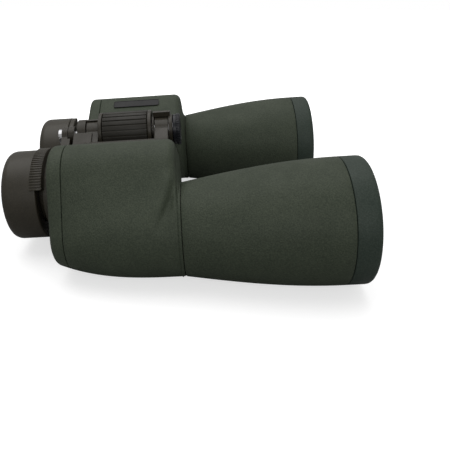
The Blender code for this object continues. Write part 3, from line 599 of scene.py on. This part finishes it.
# barrels, front bumpers and what shows inside them
barrel = dict(
    rootRadius=23.3, wall=1.8, stations=26, mouth=27.2, tubeEnd=84.3, bumperWall=2.0,
    rimRound=((2.6, 0.0), (1.5, 0.14), (0.7, 0.62), (0.2, 1.3), (0.0, 2.1)),
    mouthRound=((0.0, 0.7), (0.12, 0.25), (0.5, 0.0)),
)
objectiveParts = {
    "objective_crown": ("ObjectiveGlass", 0.25),
    "retaining_ring": ("RetainingRing", 0.25),
    "objective_cell": ("ObjectiveCell", 0.2),
}


def makeBarrel(side):
    armour, bumper = f"{side}_barrel_armour", f"{side}_front_bumper"
    low, high = boxOf(armour)
    rimLow, rimHigh = boxOf(bumper)
    centre, rim = (rimLow + rimHigh) / 2, (rimHigh.z - rimLow.z) / 2
    root, mouth = barrel["rootRadius"], barrel["mouth"]

    def swell(x):
        share = min(1.0, (x - seamX) / (rimLow.x - seamX))
        return root + (rim - root) * math.sin(math.pi / 2 * share)

    edge = seamEdge(barrel["wall"])
    outline = [(low.x + way, swell(low.x) - depth) for way, depth in edge]
    outline += [(x, swell(x)) for x in spread(low.x + seam["lip"], high.x - seam["lip"], barrel["stations"])]
    outline += [(high.x - way, rim - depth) for way, depth in reversed(edge)]
    shape = turnedShape(outline, centre.y, centre.z, largeTurn)
    addPiece(f"{side}BarrelArmour", shape, armour, replaced=[armour], sharp=50)

    start, end, tubeEnd = rimLow.x, rimHigh.x, seamX + barrel["tubeEnd"]
    outline = [(start + way, rim - depth) for way, depth in seamEdge(barrel["bumperWall"])]
    outline.append((start + seam["lip"], rim))
    outline += [(end - way, rim - depth) for way, depth in barrel["rimRound"]]
    outline += [(end - way, mouth + more) for way, more in barrel["mouthRound"]]
    outline += [(tubeEnd, mouth), (tubeEnd, rim - barrel["bumperWall"])]
    shape = turnedShape(outline, centre.y, centre.z, largeTurn)
    addPiece(f"{side}FrontBumper", shape, bumper, finish="bumperGreen", replaced=[bumper], sharp=50)
    return centre


for side in sides:
    centre = makeBarrel(side)
    for part, (name, soft) in objectiveParts.items():
        node = f"{side}_{part}"
        outline = softened(outlineOf(node, centre.y, centre.z), soft, steps=3)
        addPiece(f"{side}{name}", turnedShape(outline, centre.y, centre.z), node, replaced=[node], sharp=40)
print("barrels made")

# ribs by geometry nodes
ribs = dict(roundSteps=3, uneven=0.00001)


# one bar with rounded long edges, lying along X and standing up along Z
def makeRibShape(name, length, width, height, edge):
    outline = [(-width / 2, -height)]
    turns = [math.pi / 2 * step / ribs["roundSteps"] for step in range(ribs["roundSteps"] + 1)]
    for turn in turns:
        outline.append((-width / 2 + edge * (1 - math.cos(turn)), -edge + edge * math.sin(turn)))
    for turn in reversed(turns):
        outline.append((width / 2 - edge * (1 - math.cos(turn)), -edge + edge * math.sin(turn)))
    outline.append((width / 2, -height))
    rings = []
    for x, tuck in ((-length / 2, edge), (-length / 2 + edge, 0), (length / 2 - edge, 0), (length / 2, edge)):
        rings.append([(x * mm, y * mm, min(z, -tuck) * mm) for y, z in outline])
    bm = joinRings(rings, capped=True)
    bmesh.ops.recalc_face_normals(bm, faces=bm.faces)
    mesh = bpy.data.meshes.new(name)
    bm.to_mesh(mesh)
    bm.free()
    mesh.shade_smooth()
    mesh.set_sharp_from_angle(angle=math.radians(50))
    made = bpy.data.objects.new(name, mesh)
    bpy.context.scene.collection.objects.link(made)
    return made


# places copies of a rib round an arc
def makeRibTree():
    tree = bpy.data.node_groups.new("ribsRoundArc", "GeometryNodeTree")
    addSocket(tree, "Geometry", "NodeSocketGeometry", "INPUT")
    addSocket(tree, "Rib", "NodeSocketObject", "INPUT")
    addSocket(tree, "Count", "NodeSocketInt", "INPUT", 24)
    addSocket(tree, "Radius", "NodeSocketFloat", "INPUT", 0.01)
    addSocket(tree, "First Angle", "NodeSocketFloat", "INPUT", 0.0)
    addSocket(tree, "Angle Step", "NodeSocketFloat", "INPUT", 0.1)
    addSocket(tree, "Uneven", "NodeSocketFloat", "INPUT", 0.00002)
    addSocket(tree, "Seed", "NodeSocketInt", "INPUT", 7)
    addSocket(tree, "Finish", "NodeSocketMaterial", "INPUT")
    addSocket(tree, "Geometry", "NodeSocketGeometry", "OUTPUT")
    source = placeNode(tree, "NodeGroupInput", -1200, 0)
    result = placeNode(tree, "NodeGroupOutput", 900, 0)
    line = placeNode(tree, "GeometryNodeMeshLine", -900, 300)
    index = placeNode(tree, "GeometryNodeInputIndex", -1200, -300)
    angle = placeNode(tree, "ShaderNodeMath", -900, -200, operation="MULTIPLY_ADD")
    sine = placeNode(tree, "ShaderNodeMath", -650, -300, operation="SINE")
    cosine = placeNode(tree, "ShaderNodeMath", -650, -150, operation="COSINE")
    jitter = placeNode(tree, "FunctionNodeRandomValue", -900, -500, data_type="FLOAT")
    negated = placeNode(tree, "ShaderNodeMath", -1050, -650, operation="MULTIPLY")
    negated.inputs[1].default_value = -1.0
    reach = placeNode(tree, "ShaderNodeMath", -650, -500, operation="ADD")
    across = placeNode(tree, "ShaderNodeMath", -400, -150, operation="MULTIPLY")
    upward = placeNode(tree, "ShaderNodeMath", -400, -300, operation="MULTIPLY")
    spot = placeNode(tree, "ShaderNodeCombineXYZ", -200, -200)
    setPlace = placeNode(tree, "GeometryNodeSetPosition", 0, 250)
    lean = placeNode(tree, "ShaderNodeMath", -400, -480, operation="SUBTRACT")
    lean.inputs[1].default_value = math.pi / 2
    turn = placeNode(tree, "ShaderNodeCombineXYZ", -200, -450)
    ribInfo = placeNode(tree, "GeometryNodeObjectInfo", 0, 0)
    instance = placeNode(tree, "GeometryNodeInstanceOnPoints", 250, 150)
    realize = placeNode(tree, "GeometryNodeRealizeInstances", 450, 150)
    finish = placeNode(tree, "GeometryNodeSetMaterial", 650, 150)
    link = tree.links.new
    link(source.outputs["Count"], line.inputs["Count"])
    link(index.outputs[0], angle.inputs[0])
    link(source.outputs["Angle Step"], angle.inputs[1])
    link(source.outputs["First Angle"], angle.inputs[2])
    link(angle.outputs[0], sine.inputs[0])
    link(angle.outputs[0], cosine.inputs[0])
    floats = [s for s in jitter.inputs if s.type == "VALUE"]
    link(source.outputs["Uneven"], negated.inputs[0])
    link(negated.outputs[0], floats[0])
    link(source.outputs["Uneven"], floats[1])
    link(source.outputs["Seed"], jitter.inputs["Seed"])
    link(source.outputs["Radius"], reach.inputs[0])
    link([s for s in jitter.outputs if s.type == "VALUE"][0], reach.inputs[1])
    link(cosine.outputs[0], across.inputs[0])
    link(reach.outputs[0], across.inputs[1])
    link(sine.outputs[0], upward.inputs[0])
    link(reach.outputs[0], upward.inputs[1])
    link(across.outputs[0], spot.inputs["Y"])
    link(upward.outputs[0], spot.inputs["Z"])
    link(line.outputs["Mesh"], setPlace.inputs["Geometry"])
    link(spot.outputs[0], setPlace.inputs["Position"])
    link(angle.outputs[0], lean.inputs[0])
    link(lean.outputs[0], turn.inputs["X"])
    link(source.outputs["Rib"], ribInfo.inputs["Object"])
    link(setPlace.outputs["Geometry"], instance.inputs["Points"])
    link(ribInfo.outputs["Geometry"], instance.inputs["Instance"])
    link(turn.outputs[0], instance.inputs["Rotation"])
    link(instance.outputs["Instances"], realize.inputs["Geometry"])
    link(realize.outputs["Geometry"], finish.inputs["Geometry"])
    link(source.outputs["Finish"], finish.inputs["Material"])
    link(finish.outputs["Geometry"], result.inputs["Geometry"])
    return tree


ribTree = makeRibTree()


# rows of ribs made real: first and step are degrees, the rest is in millimetres
def makeRibs(name, node, ribShape, place, finish, count, radius, first, step, seed):
    host = bpy.data.objects.new(name + "Host", bpy.data.meshes.new(name + "Host"))
    bpy.context.scene.collection.objects.link(host)
    modifier = host.modifiers.new("ribs", "NODES")
    modifier.node_group = ribTree
    values = {
        "Rib": ribShape, "Count": count, "Radius": radius * mm, "First Angle": math.radians(first),
        "Angle Step": math.radians(step), "Uneven": ribs["uneven"], "Seed": seed, "Finish": finishes[finish],
    }
    for item in ribTree.interface.items_tree:
        if item.item_type == "SOCKET" and item.in_out == "INPUT" and item.name in values:
            modifier[item.identifier] = values[item.name]
    graph = bpy.context.evaluated_depsgraph_get()
    mesh = bpy.data.meshes.new_from_object(host.evaluated_get(graph), depsgraph=graph)
    mesh.transform(Matrix.Translation(Vector(place) * mm))
    host.modifiers.clear()
    bpy.data.objects.remove(host)
    bpy.data.objects.remove(ribShape)
    addMesh(name, mesh, node, finish, sharp=50)


# focus wheel and tripod cap
wheel = dict(
    ribs=24, tooth=0.62, ribWidth=2.55, edge=0.28, foot=0.35, short=0.2, firstRib=3.0, seed=11,
    flangeSoft=0.45, sleeveSoft=0.2, wall=1.9, sunk=0.02,
)
cap = dict(
    ribs=36, tooth=0.42, ribWidth=1.12, edge=0.18, foot=0.3, short=0.1, firstRib=2.0, seed=5,
    radius=9.3, bodyRadius=8.9, stemRadius=3.05, stemLength=8.0, flange=2.3, sunk=0.02,
    stemEase=0.25, bodyEase=0.3, flangeStep=0.05, frontEase=0.35, frontDrop=0.9,
    dish=6.6, dishFloor=6.2, dishDepth=0.3,
)
hingeZ = (boxOf("focus_wheel_core")[0].z + boxOf("focus_wheel_core")[1].z) / 2


def makeFocusWheel():
    node = "focus_wheel_core"
    core = turnedShape(softened(outlineOf(node, 0.0, hingeZ), wheel["flangeSoft"]), 0.0, hingeZ, largeTurn)
    addPiece("focusWheelCore", core, node, replaced=[node], sharp=50)
    node = "focus_wheel_grip"
    low, high = boxOf(node)
    top = (high.z - low.z) / 2 - wheel["sunk"]
    base = top - wheel["tooth"]
    inside = base - wheel["wall"]
    outline = softened([(low.x, inside), (low.x, base), (high.x, base), (high.x, inside)], wheel["sleeveSoft"])
    addPiece("focusWheelSleeve", turnedShape(outline, 0.0, hingeZ, largeTurn), node, replaced=[node])
    length, height = high.x - low.x - wheel["short"], wheel["tooth"] + wheel["foot"]
    rib = makeRibShape("wheelRib", length, wheel["ribWidth"], height, wheel["edge"])
    makeRibs(
        "focusWheelRibs", node, rib, place=((low.x + high.x) / 2, 0.0, hingeZ), finish="wheelRubber",
        count=wheel["ribs"], radius=top, first=wheel["firstRib"], step=360 / wheel["ribs"], seed=wheel["seed"])


def makeTripodCap():
    node = "tripod_cap"
    low, high = boxOf(node)
    back, face = low.x, high.x
    stem, body, base = cap["stemRadius"], cap["bodyRadius"], cap["radius"] - cap["tooth"]
    shoulder, flange, floor = back + cap["stemLength"], face - cap["flange"], face - cap["dishDepth"]
    outline = [
        (back, 0.0), (back, stem - cap["stemEase"]), (back + cap["stemEase"], stem), (shoulder, stem),
        (shoulder, body - cap["bodyEase"]), (shoulder + cap["bodyEase"], body),
        (flange - cap["flangeStep"], body), (flange, base), (face - cap["frontEase"], base),
        (face, cap["radius"] - cap["frontDrop"]), (face, cap["dish"]), (floor, cap["dishFloor"]), (floor, 0.0),
    ]
    addPiece("tripodCap", turnedShape(outline, 0.0, hingeZ, largeTurn), node, replaced=[node])
    length, height = face - flange - cap["short"], cap["tooth"] + cap["foot"]
    rib = makeRibShape("capRib", length, cap["ribWidth"], height, cap["edge"])
    makeRibs(
        "tripodCapKnurl", node, rib, place=((face + flange) / 2, 0.0, hingeZ), finish="capPlastic",
        count=cap["ribs"], radius=cap["radius"] - cap["sunk"], first=cap["firstRib"], step=360 / cap["ribs"],
        seed=cap["seed"])


makeFocusWheel()
makeTripodCap()
print("wheel and cap made")

# eyepieces
eyepiece = dict(
    cupSoft=1.3, ringSoft=0.5, ringRadius=20.6, ringRear=2.2, clearance=0.35, partSoft=0.2,
    gripAt={"right": 114.5, "left": 122.0}, gripSpan=80.0, gripEnds=((0.0, 0.93), (0.9, 0.985)), gripFull=2.0,
    gripRear=0.3, gripFront=1.0, gripInside=18.1, gripSoft=0.7, gripSteps={"right": 60, "left": 40},
)
ribbedGrip = dict(
    ribs=24, tooth=0.45, ribWidth=1.02, edge=0.3, foot=0.2, short=0.05, margin=0.8, seed=3,
    rise=0.88, step=0.22, sunk=0.02, soft=0.15,
)
eyepieceParts = {"eyecup_carrier": "CupCarrier", "ocular_tube": "OcularTube", "eye_lens": "EyeLens"}


# a closed (x, radius) outline swept round part of a turn, with rounded ends
def sweptShape(outline, y, z, start, end, steps):
    centreX = sum(x for x, _ in outline) / len(outline)
    centreR = sum(r for _, r in outline) / len(outline)
    ends, full = eyepiece["gripEnds"], eyepiece["gripFull"]
    turns = [(start + way, size) for way, size in ends]
    turns += [(way, 1.0) for way in spread(start + full, end - full, steps)]
    turns += [(end - way, size) for way, size in reversed(ends)]
    rings = []
    for degrees, size in turns:
        a = math.radians(degrees)
        section = [(centreX + (x - centreX) * size, centreR + (r - centreR) * size) for x, r in outline]
        rings.append([(x, y + r * math.cos(a), z + r * math.sin(a)) for x, r in section])
    return joinRings(rings, capped=True)


def makeEyepiece(side, sign):
    y, z = sign * housing["eye"][0], housing["eye"][1]
    values, ribbed = eyepiece, ribbedGrip
    cup = f"{side}_eyecup"
    outline = softened(outlineOf(cup, y, z), values["cupSoft"], steps=6)
    addPiece(f"{side}Eyecup", turnedShape(outline, y, z, largeTurn), cup, replaced=[cup], sharp=50)
    for part, name in eyepieceParts.items():
        node = f"{side}_{part}"
        outline = softened(outlineOf(node, y, z), values["partSoft"], steps=3)
        addPiece(f"{side}{name}", turnedShape(outline, y, z), node, replaced=[node], sharp=40)
    node, name = ("dioptre_ring", "dioptreRing") if side == "right" else ("left_grip_ring", "leftGripRing")
    low, high = boxOf(node)
    cupLow, cupHigh = boxOf(cup)
    tubeLow, tubeHigh = boxOf(f"{side}_ocular_tube")
    bore, outside = (tubeHigh.z - tubeLow.z) / 2 + values["clearance"], values["ringRadius"]
    gripRear = cupHigh.x + values["gripRear"]
    openRear = gripRear + values["ringRear"]
    front = openRear + values["gripFront"]
    ring = [(openRear, bore), (openRear, outside), (high.x, outside), (high.x, bore)]
    addPiece(name, turnedShape(softened(ring, values["ringSoft"]), y, z, largeTurn), node, replaced=[node])
    at, half = values["gripAt"][side], values["gripSpan"] / 2
    start, end = at - half, at + half
    steps, cupRadius, inside = values["gripSteps"][side], (cupHigh.z - cupLow.z) / 2, values["gripInside"]
    if side == "left":
        grip = [(gripRear, inside), (gripRear, cupRadius), (front, cupRadius), (front, inside)]
        shape = sweptShape(softened(grip, values["gripSoft"]), y, z, start, end, steps)
        addPiece("leftFingerGrip", shape, node, sharp=50)
        return
    top, under = cupRadius + ribbed["rise"], cupRadius + ribbed["step"]
    base, rear = top - ribbed["tooth"], low.x + ribbed["sunk"]
    grip = [(rear, under), (rear, base), (front, base), (front, inside), (gripRear, inside), (gripRear, under)]
    shape = sweptShape(softened(grip, ribbed["soft"]), y, z, start, end, steps)
    addPiece("dioptreGrip", shape, node, sharp=50)
    length, height = front - low.x - ribbed["short"], ribbed["tooth"] + ribbed["foot"]
    rib = makeRibShape("gripRib", length, ribbed["ribWidth"], height, ribbed["edge"])
    makeRibs(
        "dioptreGripRibs", node, rib, place=((front + low.x) / 2, y, z), finish="cupRubber",
        count=ribbed["ribs"], radius=top, first=start + ribbed["margin"],
        step=(values["gripSpan"] - 2 * ribbed["margin"]) / (ribbed["ribs"] - 1), seed=ribbed["seed"])


for side, sign in sides.items():
    makeEyepiece(side, sign)
print("eyepieces made")

# hinge castings and bridge
casting = dict(edge=0.32, bridgeEdge=0.4, steps=2, weld=2e-6, flatAngle=1.0, edgeAngle=40)


# a cast node's own shape, with its edges eased
def makeEased(node, name, edge):
    source = bmesh.new()
    source.from_mesh(frame["nodes"][node].data)
    bmesh.ops.remove_doubles(source, verts=source.verts, dist=casting["weld"])
    flat = math.radians(casting["flatAngle"])
    bmesh.ops.dissolve_limit(source, angle_limit=flat, verts=source.verts, edges=source.edges)
    bmesh.ops.recalc_face_normals(source, faces=source.faces)
    mesh = bpy.data.meshes.new(name)
    source.to_mesh(mesh)
    source.free()
    piece = addMesh(name, mesh, node, replaced=[node], sharp=40)
    bevel = piece.modifiers.new("easedEdges", "BEVEL")
    bevel.width = edge * mm
    bevel.segments = casting["steps"]
    bevel.limit_method = "ANGLE"
    bevel.angle_limit = math.radians(casting["edgeAngle"])
    bevel.use_clamp_overlap = True


for side in sides:
    makeEased(f"{side}_prism_housing", f"{side}HingeCasting", casting["edge"])
    makeEased(f"{side}_bridge_arm", f"{side}BridgeArm", casting["bridgeEdge"])
print("castings made")

# blank badge
badge = dict(
    rearX=-47.0, length=30.6, height=6.4, thick=0.5, top=-1.8, corner=1.3, leastCorner=0.2, cornerSteps=6,
    edge=0.1, border=0.45, sunk=0.16, inner=1.6,
)


def makeBadge():
    h = housing
    low, high = Vector(h["eye"]), Vector(h["corner"])
    slope = (high - low).normalized()
    lean = (h["eyeRadius"] - h["cornerRadius"]) / (high - low).length
    normal = Vector((-slope.y, slope.x)) * math.sqrt(1 - lean * lean) + slope * lean
    down = Vector((-normal.y, normal.x))
    face = high + normal * (h["cornerRadius"] + seam["gap"])
    centre = face + down * (badge["top"] + badge["height"] / 2)

    def outline(tuck, rise):
        w, t = badge["length"] / 2 - tuck, badge["height"] / 2 - tuck
        r = max(badge["leastCorner"], badge["corner"] - tuck)
        ring = []
        for k, (sx, sy) in enumerate(((1, 1), (-1, 1), (-1, -1), (1, -1))):
            for step in range(badge["cornerSteps"] + 1):
                a = math.pi / 2 * (k + step / badge["cornerSteps"])
                x, d = sx * (w - r) + r * math.cos(a), sy * (t - r) + r * math.sin(a)
                spot = centre + down * d + normal * rise
                ring.append((seamX + badge["rearX"] + badge["length"] / 2 + x, spot.x, spot.y))
        return ring

    thick, border, edge = badge["thick"], badge["border"], badge["edge"]
    sunk = thick - badge["sunk"]
    rings = [outline(0.0, 0.0), outline(0.0, thick - edge), outline(edge, thick), outline(border, thick)]
    rings += [outline(border + edge, sunk), outline(badge["inner"], sunk)]
    shape = joinRings(rings, capped=True)
    addPiece("blankBadge", shape, "name_plate", finish="badgeGloss", replaced=["name_plate"])


makeBadge()
print("badge made")

# floor, light and camera: the floor slopes so that the rims and the housings both stand on it
studio = dict(
    floorTilt=4.3, floorSize=6.0, floorDrop=0.00005, floorWhite=0.55, floorBounce=0.3, floorGrain=40.0,
    floorRough=(0.86, 1.0), floorGlow=0.62, fadeFrom=0.13, fadeTo=0.3, ambient=0.45,
    target=(0.0029, 0.0, 0.01872), distance=0.3249, azimuth=2.28, elevation=22.58, roll=-4.164,
    lens=41.06, shift=(0.0838, -0.0594),
)
lights = {
    "overheadSoftbox": dict(place=(-0.05, 0.10, 0.85), aim=(0.0, 0.0, 0.0), size=(1.0, 1.0), watts=6.2),
    "frontFill": dict(place=(0.15, -1.0, 0.45), aim=(0.0, 0.0, 0.04), size=(0.8, 0.5), watts=3.0),
    "rightRim": dict(place=(0.9, 0.35, 0.45), aim=(0.05, 0.0, 0.04), size=(0.4, 0.6), watts=0.3),
}


def makeFloor():
    tilt = math.radians(studio["floorTilt"])
    up = Vector((math.sin(tilt), 0.0, math.cos(tilt)))
    lowest = min(up.dot(v.co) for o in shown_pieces() for v in o.data.vertices)
    bm = bmesh.new()
    bmesh.ops.create_grid(bm, x_segments=2, y_segments=2, size=studio["floorSize"] / 2)
    mesh = bpy.data.meshes.new("paleFloor")
    bm.to_mesh(mesh)
    bm.free()
    mesh.transform(Matrix.Translation(up * (lowest - studio["floorDrop"])) @ Matrix.Rotation(tilt, 4, "Y"))
    floor = bpy.data.objects.new("paleFloor", mesh)
    bpy.context.scene.collection.objects.link(floor)
    paint = bpy.data.materials.new("floorPaper")
    paint.use_nodes = True
    tree = paint.node_tree
    shader = tree.nodes["Principled BSDF"]
    shader.inputs["Specular IOR Level"].default_value = 0.0
    place = placeNode(tree, "ShaderNodeTexCoord", -700, 0)
    grain = placeNode(tree, "ShaderNodeTexNoise", -500, 0)
    grain.inputs["Scale"].default_value = studio["floorGrain"]
    tone = placeNode(tree, "ShaderNodeMapRange", -300, -150)
    setRange(tone, "To", studio["floorRough"])
    tree.links.new(place.outputs["Object"], grain.inputs["Vector"])
    tree.links.new(grain.outputs["Fac"], tone.inputs["Value"])
    tree.links.new(tone.outputs["Result"], shader.inputs["Roughness"])
    path = placeNode(tree, "ShaderNodeLightPath", -700, 300)
    seen = placeNode(tree, "ShaderNodeMix", -400, 200, data_type="RGBA")
    seen.inputs["A"].default_value = (*[studio["floorBounce"]] * 3, 1)
    seen.inputs["B"].default_value = (*[studio["floorWhite"]] * 3, 1)
    tree.links.new(path.outputs["Is Camera Ray"], seen.inputs["Factor"])
    glow = placeNode(tree, "ShaderNodeMath", -400, 400, operation="MULTIPLY")
    shader.inputs["Emission Color"].default_value = (1.0, 1.0, 1.0, 1)
    reach = placeNode(tree, "ShaderNodeVectorMath", -900, 500, operation="LENGTH")
    fade = placeNode(tree, "ShaderNodeMapRange", -650, 500)
    setRange(fade, "From", (studio["fadeFrom"], studio["fadeTo"]))
    setRange(fade, "To", (studio["floorGlow"], 1.0))
    tree.links.new(place.outputs["Object"], reach.inputs[0])
    tree.links.new(reach.outputs["Value"], fade.inputs["Value"])
    tree.links.new(fade.outputs["Result"], glow.inputs[1])
    tree.links.new(path.outputs["Is Camera Ray"], glow.inputs[0])
    tree.links.new(glow.outputs[0], shader.inputs["Emission Strength"])
    tree.links.new(seen.outputs["Result"], shader.inputs["Base Color"])
    mesh.materials.append(paint)
    floor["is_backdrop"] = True


def makeSoftLight(name, place, aim, size, watts):
    data = bpy.data.lights.new(name, "AREA")
    data.shape = "RECTANGLE"
    data.size, data.size_y = size
    data.energy = watts
    light = bpy.data.objects.new(name, data)
    bpy.context.scene.collection.objects.link(light)
    light.location = place
    light.rotation_mode = "QUATERNION"
    light.rotation_quaternion = (Vector(aim) - Vector(place)).to_track_quat("-Z", "Y")
    light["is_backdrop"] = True


makeFloor()
for name, values in lights.items():
    makeSoftLight(name, **values)

world = bpy.data.worlds.new("studioWhite")
world.use_nodes = True
sky = world.node_tree.nodes["Background"]
sky.inputs["Color"].default_value = (1.0, 1.0, 1.0, 1)
skyPath = placeNode(world.node_tree, "ShaderNodeLightPath", -600, 0)
skyLevel = placeNode(world.node_tree, "ShaderNodeMapRange", -300, 0)
setRange(skyLevel, "To", (studio["ambient"], 1.0))
world.node_tree.links.new(skyPath.outputs["Is Camera Ray"], skyLevel.inputs["Value"])
world.node_tree.links.new(skyLevel.outputs["Result"], sky.inputs["Strength"])
bpy.context.scene.world = world
bpy.context.scene.view_settings.view_transform = "Standard"

cameraData = bpy.data.cameras.new("studioCamera")
cameraData.sensor_width = 36.0
cameraData.lens = studio["lens"]
cameraData.shift_x, cameraData.shift_y = studio["shift"]
cameraData.clip_start = 0.01
cameraData.dof.use_dof = False
camera = bpy.data.objects.new("studioCamera", cameraData)
bpy.context.scene.collection.objects.link(camera)
azimuth, elevation = math.radians(studio["azimuth"]), math.radians(studio["elevation"])
back = Vector((
    math.sin(azimuth) * math.cos(elevation), -math.cos(azimuth) * math.cos(elevation), math.sin(elevation)))
camera.location = Vector(studio["target"]) + back * studio["distance"]
camera.rotation_mode = "QUATERNION"
turn = Quaternion((0.0, 0.0, 1.0), math.radians(studio["roll"]))
camera.rotation_quaternion = (-back).to_track_quat("-Z", "Y") @ turn
bpy.context.scene.camera = camera
print("studio made")
